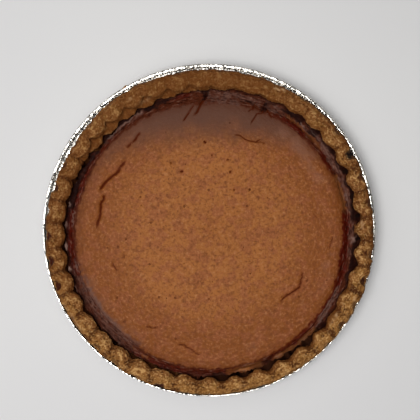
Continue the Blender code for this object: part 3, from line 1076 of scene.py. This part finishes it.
CRACKS = (
    Crack(0.9, 0.7, ((-49.0, 72.0), (-53.0, 66.5), (-57.0, 62.5), (-60.6, 58.8))),
    Crack(1.1, 0.8, (
        (-59.6, 51.8), (-63.8, 46.3), (-67.1, 41.1), (-71.6, 38.2), (-75.5, 34.0), (-78.7, 30.1),
        (-79.6, 26.5),
    )),
    Crack(1.1, 0.8, ((-76.2, 28.0), (-76.7, 22.3), (-78.7, 18.5), (-79.0, 12.0), (-80.6, 5.5), (-82.0, 0.4))),
    Crack(0.4, 0.4, ((-46.4, 54.8), (-48.5, 49.7))),
    Crack(0.45, 0.6, (
        (16.7, 69.4), (22.5, 68.5), (25.7, 65.9), (30.2, 64.3), (34.1, 63.6), (36.1, 65.2), (38.6, 67.1),
    )),
    Crack(0.4, 0.5, ((34.1, 63.6), (37.0, 63.9), (40.5, 62.3))),
    Crack(0.8, 0.8, (
        (68.0, -28.6), (66.4, -36.8), (65.6, -41.2), (61.6, -44.0), (56.6, -46.9), (53.2, -50.0),
        (50.6, -54.2),
    )),
    Crack(0.6, 0.6, ((-46.4, -69.4), (-41.4, -70.4), (-36.3, -70.1))),
    Crack(0.65, 0.6, ((-24.0, -82.1), (-18.2, -83.3), (-13.6, -85.9), (-10.4, -88.5), (-5.2, -90.8))),
    Crack(0.6, 0.55, ((-71.6, -21.5), (-69.3, -25.8), (-66.4, -30.4))),
    Crack(0.5, 0.5, ((-62.5, -14.2), (-61.5, -20.8))),
    Crack(0.45, 0.4, ((74.2, 13.7), (79.0, 7.5), (81.3, 0.7))),
    Crack(0.7, 0.5, ((89.3, -3.8), (88.1, -9.0), (86.1, -14.8))),
    Crack(0.8, 1.0, ((-2.0, 102.4), (-2.7, 95.5), (-6.2, 91.3), (-8.9, 85.8), (-12.0, 82.0))),
    Crack(0.6, 0.7, ((-11.0, 91.4), (-15.1, 84.5), (-19.3, 78.2))),
    Crack(0.5, 0.6, ((41.8, 92.3), (40.3, 89.9), (38.0, 84.6), (34.8, 84.4), (29.2, 76.1))),
    Crack(0.5, 0.6, ((40.3, 89.9), (43.5, 85.0), (45.5, 81.0))),
    Crack(0.5, 0.6, ((35.0, 94.0), (33.0, 91.5), (31.5, 88.0), (28.0, 85.5))),
    Crack(1.1, 0.7, ((-4.0, 64.7), (-2.2, 62.9))),
    Crack(1.1, 0.7, ((-21.1, 43.2), (-19.1, 41.8))),
    Crack(0.95, 0.6, ((14.2, 42.0), (15.8, 42.2))),
    Crack(0.9, 0.5, ((-28.4, 49.0), (-27.0, 48.2))),
    Crack(0.8, 0.5, ((1.1, 54.6), (2.9, 54.2))),
    Crack(0.8, 0.5, ((12.8, 51.2), (14.2, 50.4))),
    Crack(0.85, 0.5, ((17.2, 29.4), (18.6, 28.8))),
    Crack(0.85, 0.5, ((28.4, 29.4), (29.8, 28.8))),
)

# Soot patches are partly burnt skin and partly painted shadow under the lobes and the notches. Bloom patches
# are partly pale skin and partly painted highlight on the trough's ridges. Veil patches are painted sheen.
SKIN_PATCHES: Patches = {
    Shade.SOOT_AND_SHADOW: (
        (3, 8.5, 102.8, 111), (13.2, 16.8, 105, 110), (22, 26.5, 104.6, 111), (31, 35, 103.8, 109),
        (40.4, 44.8, 100.9, 108), (48.5, 58.5, 100.9, 107, 0.9), (64.2, 66.8, 94.6, 101.6, 0.8),
        (71.6, 75.4, 96.8, 98.6, 0.8), (90.4, 93.2, 94.4, 102, 0.9), (104.5, 113.5, 97.6, 101, 0.8),
        (112.5, 118.5, 96.2, 101.6), (117.5, 133.5, 99.2, 103, 0.9), (132.5, 147, 98.4, 103, 0.85),
        (146, 157, 98.4, 104, 0.85), (156.5, 171.5, 99.2, 106), (170, 184, 101.4, 106, 0.6),
        (183, 199, 102.6, 106, 0.55), (196, 214, 101.8, 106, 0.45), (214, 225, 102.6, 105, 0.35),
        (224, 239, 101.8, 106, 0.35), (249.5, 255, 104, 106, 0.4), (262, 271, 102.4, 106, 0.4),
        (270.5, 277.5, 103.6, 111, 0.85), (281, 286.4, 106.4, 111, 0.85), (289, 296, 102.4, 111, 0.6),
        (299.5, 304.2, 104.8, 111, 0.9), (308.6, 314.4, 103.6, 111, 0.7),
        (316.4, 322.4, 103.8, 109.5, 0.85), (343.8, 349.8, 104.6, 113, 0.9),
        (352.8, 360.4, 104.8, 113, 0.9),
    ),
    Shade.GLAZE: (
        (344, 367, 96.2, 102.2), (334, 346, 98.4, 103.4, 0.9), (317, 335, 99, 101.8, 0.8),
        (303, 318, 99, 103, 0.8), (295, 304, 99.4, 102.4, 0.6), (8, 27, 96.8, 99.2, 0.5),
        (26.5, 35.5, 96, 100.2, 0.85), (35.5, 45, 94.4, 97.6, 0.45), (44.5, 57.5, 95, 99, 0.95),
        (57, 61, 93.8, 97, 0.5), (97.5, 105.5, 96.8, 101.4, 0.7), (134, 147, 95.4, 98, 0.6),
        (146, 171, 96.6, 101.6, 0.75), (169, 200, 98.8, 103.6, 0.95), (237, 262.5, 101.4, 106.2, 0.7),
        (262, 282, 100.6, 105, 0.6),
    ),
    Shade.ASH: (
        (2, 13.4, 101.4, 105.2, 0.8), (12.8, 45, 100.2, 105.2, 0.85), (44, 52.4, 100.2, 102.8, 0.6),
        (57, 66.4, 97, 103.2, 0.9), (67, 77.6, 96.4, 101.4, 0.8), (76.6, 92, 91.8, 101.6, 0.9),
        (118.6, 141, 96.4, 100.4, 0.55), (140, 152.6, 97, 101, 0.3), (196, 240, 94.4, 104.6, 0.7, 0, 3.2),
        (320, 337.6, 100.8, 103.6, 0.7), (349, 353, 101.6, 105, 0.7), (354, 362, 101.6, 105.6, 0.7),
    ),
    Shade.BLOOM_AND_HIGHLIGHT: (
        (355.2, 357.8, 103, 106.4, 0.7), (47, 50, 101.8, 102.9, 0.6), (170.6, 179, 98.6, 99.5, 0.55),
        (192.5, 198, 99.4, 100.3, 0.55), (318, 334, 103.3, 104.2, 0.5), (321, 337, 101.2, 102.1, 0.6),
        (119, 139, 98, 99.4, 0.5), (12, 16, 102, 103.2, 0.5), (282, 285, 103.6, 105.2, 0.7),
        (297, 300, 103.6, 105, 0.4), (201, 236, 99.2, 100.2, 0.3), (203, 233, 95, 97.8, 0.35, 0, 1.3),
        (31, 44, 102.2, 103.2, 0.4), (149.8, 152.2, 102, 104.8, 0.6), (159.2, 161.2, 102.8, 105.4, 0.35),
        (167.8, 169.8, 102.6, 105.2, 0.6), (176.5, 178.7, 103.4, 106, 0.6), (185.3, 187.9, 103.8, 106.6, 1),
        (194.0, 196.6, 104.6, 107.4, 0.95), (202.9, 204.9, 104.8, 107.2, 0.45),
        (230, 232.4, 104.4, 106.6, 0.3), (308.8, 312.6, 104.4, 105.4, 0.3),
    ),
    Shade.PAINTED_SHEEN: (
        (20, 58, 84, 94, 0.8, 0, 4), (112, 150, 86, 95, 0.4, 0, 4), (198, 240, 89, 96, 0.5, 0, 3),
        (322, 364, 84, 95, 0.6, 0, 4), (285, 315, 86, 97, 0.5, 0, 4),
    ),
    Shade.AMBER: (
        (8, 24, 96.6, 101, 0.4), (281.4, 286.8, 103.2, 105.2, 0.75), (297.4, 301, 102.8, 104.8, 0.5),
        (277, 292, 101.2, 106.4, 0.35), (296, 318, 103.2, 106, 0.35), (36, 56, 98.4, 101, 0.3),
        (358.6, 362, 105.4, 108, 0.6), (241, 245, 101.6, 104, 0.4), (236.4, 238.8, 100.8, 102.6, 0.4),
    ),
}


@dataclass(frozen=True)
class Filling:
    """The set custard: a puffed plateau, the trough round it, and the skin that climbs into the notches.

    The mound is the plateau's section, from the middle to the trough, and the band is the trough's, from
    there to the crust. Each seam is a fold of the skin: its distance from the middle in millimetres, the
    angles between which it runs and its height in millimetres. The tuck is the side's section where it runs
    hidden under the rim, as radii and heights in millimetres.
    """

    crust: Crust = Crust()
    cells: int = 220
    centre_height: float = 30.1 * MM
    puff: float = 1.0 * MM
    trough_depth: float = 1.5 * MM
    skin_height: float = 31.7 * MM
    full_notch: float = 4.0 * MM
    tuck: tuple[Row, ...] = ((109.3, 30.9), (106.0, 28.0))
    side_top: float = 27.0 * MM
    hold: float = 1.0 * MM
    mound: Stops = (
        (0, 0), (0.3, 0), (0.56, 0.1), (0.76, 0.4), (0.87, 0.85), (0.94, 1), (0.975, 0.75), (1, -0.1),
    )
    band: Stops = ((0, 0), (0.22, -1), (0.4, -0.85), (0.62, -0.35), (1, 0))
    shelf: Stops = (
        (0, 97.8), (45, 97.2), (90, 95.3), (135, 96.5), (180, 99.3), (225, 99.9), (270, 102.2),
        (315, 101.3),
    )
    climb: Stops = (
        (0, 3), (50, 2.4), (85, 1), (104, 0.4), (115, 0), (240, 0), (262, 0.8), (274, 2.6), (340, 3),
    )
    depth: Stops = (
        (0, 1.25), (30, 1), (90, 0.6), (150, 0.8), (190, 0.8), (225, 0.35), (265, 0.6), (300, 0.9),
        (340, 1.25),
    )
    ring: Stops = (
        (0, 97.2), (10, 98.4), (30, 97.6), (45, 95.6), (60, 93.8), (80, 92.6), (90, 91.4), (100, 92.2),
        (115, 93.4), (130, 93.8), (145, 95), (160, 95.2), (180, 96.9), (190, 97.4), (200, 98.2),
        (212, 96.8), (226, 96.4), (237, 98), (242, 99.4), (270, 100.4), (320, 100.8), (335, 100), (348, 97),
    )
    wormy: Stops = ((58, 0), (70, 1), (94, 1), (108, 0.4), (125, 0))
    seams: tuple[Row, ...] = (
        (99.0, 153, 200, 0.5), (97.6, 165, 186, 0.35), (101.7, 306, 338, 0.5), (103.8, 300, 336, 0.45),
    )
    # How strongly painted shadow lies on the skin along the lobes' inner edge, round the pie.
    lobe_edge_shadow: Stops = (
        (0, 0.8), (60, 0.5), (90, 0.4), (110, 0.7), (220, 0.6), (240, 0.2), (268, 0.5), (330, 0.5),
        (345, 0.8),
    )
    bruise_start: Stops = (
        (0, 90), (20, 88), (40, 78), (55, 64), (75, 53), (90, 44), (105, 46), (120, 53), (135, 62),
        (150, 77), (200, 86),
    )
    bruise_end: Stops = (
        (0, 99), (20, 98), (40, 96), (60, 92), (90, 90), (105, 92), (120, 96), (135, 100), (160, 101),
        (200, 104),
    )
    bruise: Stops = (
        (0, 0.05), (15, 0.1), (30, 0.45), (45, 0.65), (60, 0.9), (110, 0.95), (122, 0.88), (138, 0.7),
        (150, 0.5), (185, 0.35), (215, 0.2), (250, 0.15), (290, 0.05),
    )
    finish: PumpkinCustard = PumpkinCustard()

    def rim_reach(self, angle: Array) -> tuple[Array, Array]:
        """The radius and the height at which the skin ends against the crust, at each angle."""
        share = self.crust.fluting.notch(angle) / self.full_notch
        height = self.skin_height + 0.6 * MM + around(self.climb, angle) * MM * np.clip(share, 0, 1)
        return self.crust.inner_wall(angle, height) + self.hold, height

    def shelf_radius(self, angle: Array) -> Array:
        """Where the plateau ends and the trough begins."""
        radius = around(self.shelf, angle) * MM + 0.4 * MM * wander(angle, 3.0, 11.0)
        return radius + 0.5 * MM * wander(angle, 14.0, 4.0)

    def surface(self, points: Array) -> Array:
        """The height of the filling's smooth top under each point."""
        angle, distance = polar(points)
        shelf, (end, top) = self.shelf_radius(angle), self.rim_reach(angle)
        lift = self.puff * (1 + 0.4 * wander(angle, 2.0, 3.0))
        inner = distance / shelf
        outer = np.clip((distance - shelf) / (end - shelf), 0, 1)
        mound, band = np.interp(inner, *zip(*self.mound)), np.interp(outer, *zip(*self.band))
        climbing = np.clip((outer - 0.55) / 0.45, 0, 1) ** 1.8 * (top - self.centre_height)
        trough = -0.1 * lift + band * self.trough_depth * around(self.depth, angle)
        return self.centre_height + np.where(inner < 1, mound * lift, trough) + climbing

    def build(self) -> Piece:
        """Makes the piece that stands for the filling node."""
        body = bmesh.new()
        bmesh.ops.create_grid(body, x_segments=self.cells, y_segments=self.cells, size=1.0)
        place_points(body, self._round_grid(read_points(body)))
        self._refine(body)
        angle, share = polar(read_points(body))
        flat = turned(angle, share * self.rim_reach(angle)[0], np.zeros(len(angle)))
        sunk, crack = self._cracks(flat)
        flat[:, 2] = self.surface(flat) + self._relief(flat) - sunk
        place_points(body, flat)
        return make_piece(body, "custard", self.finish.make(), self._close(body, self._marks(flat, crack)))

    def _round_grid(self, points: Array) -> Array:
        """Draws the square grid into a disc of radius 1 with even cells."""
        x, y = points[:, 0], points[:, 1]
        wide = np.abs(x) >= np.abs(y)
        safe_x, safe_y = np.where(x == 0, 1e-9, x), np.where(y == 0, 1e-9, y)
        turn = np.where(wide, math.pi / 4 * y / safe_x, math.pi / 2 - math.pi / 4 * x / safe_y)
        return turned(turn, np.where(wide, x, y), np.zeros(len(x)))

    def _refine(self, body: Body) -> None:
        """Divides the disc finely along the cracks and by its edge, where it has the most to show."""
        for near, ring in ((1.5 * MM, 0.885), (0.9 * MM, 2.0)):
            points = read_points(body)
            spots = points * (self.crust.lobe_tip + 2.5 * MM)
            close = np.min([crack.reach(spots)[0] for crack in CRACKS], axis=0)
            wanted = (close < near) | (polar(points)[1] > ring)
            body.verts.index_update()
            edges = [e for e in body.edges if wanted[e.verts[0].index] and wanted[e.verts[1].index]]
            bmesh.ops.subdivide_edges(body, edges=edges, cuts=1, use_grid_fill=True)
        bmesh.ops.triangulate(body, faces=[face for face in body.faces if len(face.verts) > 4])

    def _cracks(self, points: Array) -> tuple[Array, Array]:
        """Cuts the cracks.

        Args:
            points: The filling's top, still flat.

        Returns:
            How deep each point sinks, and how dark it is.
        """
        jitter = np.stack([ripple(points, 3.5 * MM, 2.0), ripple(points, 3.5 * MM, 7.0)], axis=1) * 0.4 * MM
        sunk, dark = np.zeros(len(points)), np.zeros(len(points))
        for crack in CRACKS:
            away, share = crack.reach(points[:, :2] + jitter)
            width, depth = crack.width * MM, crack.depth * MM
            groove = np.exp(-((away / width) ** 2)) * share
            lip = np.exp(-(((away - 2.2 * width) / (0.9 * width)) ** 2)) * share
            sunk += depth * groove - 0.16 * depth * lip
            dark = np.maximum(dark, groove * min(1.0, crack.depth / 0.7))
        return sunk, dark

    def _relief(self, points: Array) -> Array:
        """The skin's own unevenness: broad swells, wrinkles, the crumpled band by the crust and the seams.

        Args:
            points: The filling's top, still flat.

        Returns:
            How far each point is raised.
        """
        angle, distance = polar(points)
        shelf = self.shelf_radius(angle)
        swell = 0.25 * MM * ripple(points, 25 * MM) + 0.07 * MM * ripple(points, 6 * MM, 3.0)
        crumple = 0.36 * MM * ripple(points, 3.2 * MM, 5.0) + 0.20 * MM * ripple(points, 1.3 * MM, 1.0)
        worms = (0.5 - 2 * np.abs(ripple(points, 2.6 * MM, 9.0))) * fade(distance, 88 * MM, 93 * MM)
        raised = swell + crumple * fade(distance, shelf - 1.0 * MM, shelf + 3.0 * MM)
        raised += 0.35 * MM * worms * around(self.wormy, angle)
        degrees = np.degrees(angle) % 360
        for radius, start, end, height in self.seams:
            line = radius * MM + 0.5 * MM * wander(angle, 7.0, radius)
            ends = fade(degrees, start, start + 5) * fade(degrees, end, end - 5)
            raised += height * MM * ends * np.exp(-(((distance - line) / (0.45 * MM)) ** 2))
        return raised

    def _marks(self, points: Array, crack: Array) -> Marks:
        """Where the skin is toasted, bruised, burnt, glazed and ashen, and where shadow, sheen and highlights
        are painted on it.

        Args:
            points: The filling's top.
            crack: How dark the cracks make each.

        Returns:
            The values that the finish reads.
        """
        angle, distance = polar(points)
        broad, coarse = ripple(points, 9 * MM, 2.0), ripple(points, 3.0 * MM, 6.0)
        fine = ripple(points, 1.4 * MM, 3.0)
        streaks = turned(angle, 100 / 5.0, distance / (1.1 * MM))
        pale, dark = ripple(streaks, 1.0, 5.0), ripple(streaks * (1.6, 1.6, 1.0), 1.0, 13.0)
        reach = distance / MM + 0.8 * coarse + 0.4 * fine
        marks = lay(SKIN_PATCHES, np.degrees(angle) % 360 + 0.9 * ripple(points, 4.0 * MM, 2.0), reach)
        ringed = reach - around(self.ring, angle)
        marks["ring"] = 0.35 * fade(ringed, -10.0, -0.5) + 0.65 * fade(ringed, -1.4, 1.2)
        lobes = self.crust.outline(angle)
        # Painted shadow on the skin right along the lobes' inner edge.
        lobe_edge_shadow = fade(distance, lobes - 1.3 * MM, lobes - 0.2 * MM) * around(self.lobe_edge_shadow, angle)
        marks["soot_and_shadow"] = np.maximum(marks["soot_and_shadow"] * (0.8 + 0.2 * fade(pale, 0.2, -0.4)), lobe_edge_shadow)
        marks["ash"] *= 0.35 + 0.65 * fade(coarse + 0.8 * pale, -0.7, 0.5)
        marks["glaze"] *= 0.7 + 0.3 * fade(pale, 0.5, -0.3)
        # Painted sheen, broken up by clouds.
        marks["painted_sheen"] *= fade(broad + 0.5 * coarse, -0.7, 0.6)
        marks["fleck"] = 0.55 * fade(dark + 0.5 * fine, 0.15, 0.8) * fade(ringed, 0.0, 2.0)
        marks["toast"] = fade(distance + 3 * MM * broad, 42 * MM, 92 * MM)
        marks["streaky"] = 0.5 + 0.5 * marks["toast"]
        start, end = around(self.bruise_start, angle), around(self.bruise_end, angle)
        marks["bruise"] = fade(distance / MM + 3 * broad, start, end) * around(self.bruise, angle)
        return {**marks, "crack": crack, "dull": np.maximum(marks["ring"], crack)}

    def _close(self, body: Body, marks: Marks) -> Marks:
        """Gives the top its side and its underside, inside the crust.

        Args:
            body: The filling's top, which it closes.
            marks: The values of the top's vertices.

        Returns:
            The values with those of the new vertices.
        """
        crust = self.crust
        inside = 2 * crust.gap + crust.pastry
        bottom = crust.tin.foil + inside
        rings = (
            *((radius * MM, height * MM) for radius, height in self.tuck),
            (crust.wall_radius(self.side_top, inside), self.side_top),
            (crust.wall_radius(bottom + crust.foot, inside), bottom + crust.foot),
            (crust.wall_radius(bottom, inside) - crust.foot, bottom),
        )
        count = len(body.verts)
        loop = [edge for edge in body.edges if edge.is_boundary]
        for radius, height in rings:
            made = bmesh.ops.extrude_edge_only(body, edges=loop)["geom"]
            for vert in (item for item in made if isinstance(item, bmesh.types.BMVert)):
                vert.co.xy = vert.co.xy.normalized() * min(radius, vert.co.xy.length - 0.3 * MM)
                vert.co.z = height
            loop = [item for item in made if isinstance(item, bmesh.types.BMEdge)]
        bmesh.ops.edgeloop_fill(body, edges=loop)
        bmesh.ops.recalc_face_normals(body, faces=body.faces)
        added = (0, len(body.verts) - count)
        black = {name: float(name == Shade.SOOT_AND_SHADOW.value) for name in marks}
        return {name: np.pad(values, added, constant_values=black[name]) for name, values in marks.items()}


@dataclass(frozen=True)
class Crumbs:
    """Flakes of pastry that fell from the rim onto the tin's hem and flange.

    Each has its angle in degrees, then its radius, its length round the pie and its width in millimetres. The
    lift is how far their middles lie over the tin's height, in millimetres.
    """

    tin: Tin = Tin()
    flakes: tuple[Row, ...] = (
        (120.6, 120.3, 3.6, 1.5), (117.4, 117.6, 1.2, 0.9), (96.0, 117.2, 1.0, 0.8),
        (71.0, 116.9, 1.1, 0.8), (291.6, 119.4, 2.2, 1.1), (339.4, 119.4, 2.6, 1.2),
    )
    lift: float = 0.45
    finish: BakedPastry = BakedPastry()

    def build(self) -> Piece:
        """Makes one piece that holds all the crumbs."""
        body = bmesh.new()
        for angle, radius, length, width in self.flakes:
            turn = math.radians(angle)
            height = self.tin.height / MM + self.lift
            rest = Vector((radius * math.cos(turn), radius * math.sin(turn), height)) * MM
            flat = Matrix.Diagonal((width, length, 0.8, 1.0))
            place = Matrix.Translation(rest) @ Matrix.Rotation(turn + 0.2, 4, "Z") @ flat
            made = bmesh.ops.create_icosphere(body, subdivisions=3, radius=0.5 * MM, matrix=place)
            for vert in made["verts"]:
                rough = noise.noise(vert.co / (0.8 * MM)) + 0.6 * noise.noise(vert.co / (0.35 * MM))
                vert.co += (vert.co - rest) * 0.55 * rough
        crag = np.array([0.5 + noise.noise(vert.co / (0.7 * MM)) for vert in body.verts])
        return make_piece(body, "crumbs", self.finish.make(), {"crag": crag})


@dataclass(frozen=True)
class Studio:
    """The table, the soft light and the camera that looks straight down.

    Each light is a disc: its name, its power in watts, its width and its place in metres.
    """

    eye_height: float = 600 * MM
    eye: tuple[float, float] = (0.5 * MM, 14.6 * MM)
    seen_width: float = 304.3 * MM
    seen_at: float = 30 * MM
    sensor: float = 36.0
    horizon: float = 10.0
    table_half: float = 2.5
    sky: tuple[str, float] = ("#E9EAEC", 0.05)
    lights: tuple[tuple[str, float, float, Row], ...] = (
        ("lamp", 6.6, 0.40, (-0.16, -0.04, 1.0)),
        ("panel", 5.2, 1.30, (-0.20, 0.0, 1.1)),
    )

    def build(self) -> None:
        """Sets up the table, the lights and the camera."""
        body = bmesh.new()
        bmesh.ops.create_grid(body, x_segments=8, y_segments=8, size=self.table_half)
        table = make_piece(body, "table", PaleTable().make())
        self._lights()
        self._camera()

    def _lights(self) -> None:
        """A soft lamp overhead, a wide dim panel behind it, and a faint even sky."""
        world = bpy.data.worlds.new("dim_room")
        bpy.context.scene.world = world
        world.use_nodes = True
        sky = world.node_tree.nodes["Background"]
        sky.inputs["Color"].default_value = linear(self.sky[0])
        sky.inputs["Strength"].default_value = self.sky[1]
        for name, energy, size, place in self.lights:
            data = bpy.data.lights.new(name, "AREA")
            data.energy, data.shape, data.size = energy, "DISK", size
            lamp = bpy.data.objects.new(name, data)
            lamp.location = place
            lamp.rotation_euler = (-Vector(place)).to_track_quat("-Z", "Y").to_euler()
            bpy.context.scene.collection.objects.link(lamp)

    def _camera(self) -> None:
        """The camera, with its up along +Y."""
        data = bpy.data.cameras.new("overhead")
        data.sensor_width = self.sensor
        data.lens = self.sensor * (self.eye_height - self.seen_at) / self.seen_width
        data.clip_end = self.horizon
        camera = bpy.data.objects.new("overhead", data)
        camera.location = (*self.eye, self.eye_height)
        bpy.context.scene.collection.objects.link(camera)
        bpy.context.scene.camera = camera


def dress(piece: Piece, slot: Slot, *nodes: str) -> None:
    """Ties a piece to the frame and reports it.

    Args:
        piece: The finished piece.
        slot: The piece's material slot. It is not used.
        nodes: The nodes that it stands for.
    """
    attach(piece, "root")
    if nodes:
        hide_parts(*nodes)
    triangles = sum(len(face.vertices) - 2 for face in piece.data.polygons)
    log.info("%s: %d triangles, for %s", piece.name, triangles, ", ".join(nodes) or "no node")


def main() -> None:
    logging.basicConfig(level=logging.INFO, format="%(name)s: %(message)s")
    bpy.context.scene.view_settings.view_transform = "Standard"
    Studio().build()
    dress(Tin().build(), Slot.FOIL, "foil_tin")
    dress(Crust().build(), Slot.PASTRY, "crust")
    dress(Filling().build(), Slot.CUSTARD, "filling")
    dress(Crumbs().build(), Slot.PASTRY)


if __name__ == "__main__":
    main()
